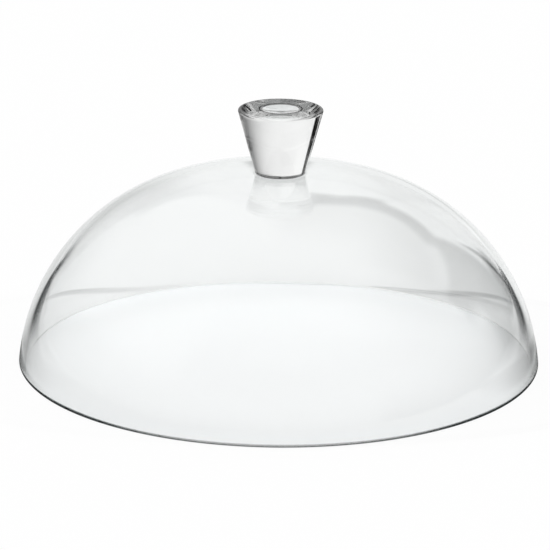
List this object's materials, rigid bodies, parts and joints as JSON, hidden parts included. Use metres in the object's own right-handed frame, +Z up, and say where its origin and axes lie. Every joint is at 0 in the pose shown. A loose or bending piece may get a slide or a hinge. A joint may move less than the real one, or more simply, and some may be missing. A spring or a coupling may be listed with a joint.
{
  "type": "cake dome",
  "caption": "Clear glass cake dome: a shallow bell with a ground rim and a solid cone-shaped glass knob bonded to its crown.",
  "frame": {"origin": "on the table, at the centre of the rim", "axes": "+Z up along the axis of revolution, through the knob; X and Y are free, as the part is a body of revolution"},
  "size_m": [0.2998, 0.2998, 0.1482],
  "materials": {
    "dome_glass": "clear, polished",
    "clear_adhesive": "clear, cured",
    "knob_glass": "clear, polished"
  },
  "bodies": {
    "root": {"dome_shell": "dome_glass", "bond_film": "clear_adhesive", "knob": "knob_glass"}
  },
  "joints": []
}
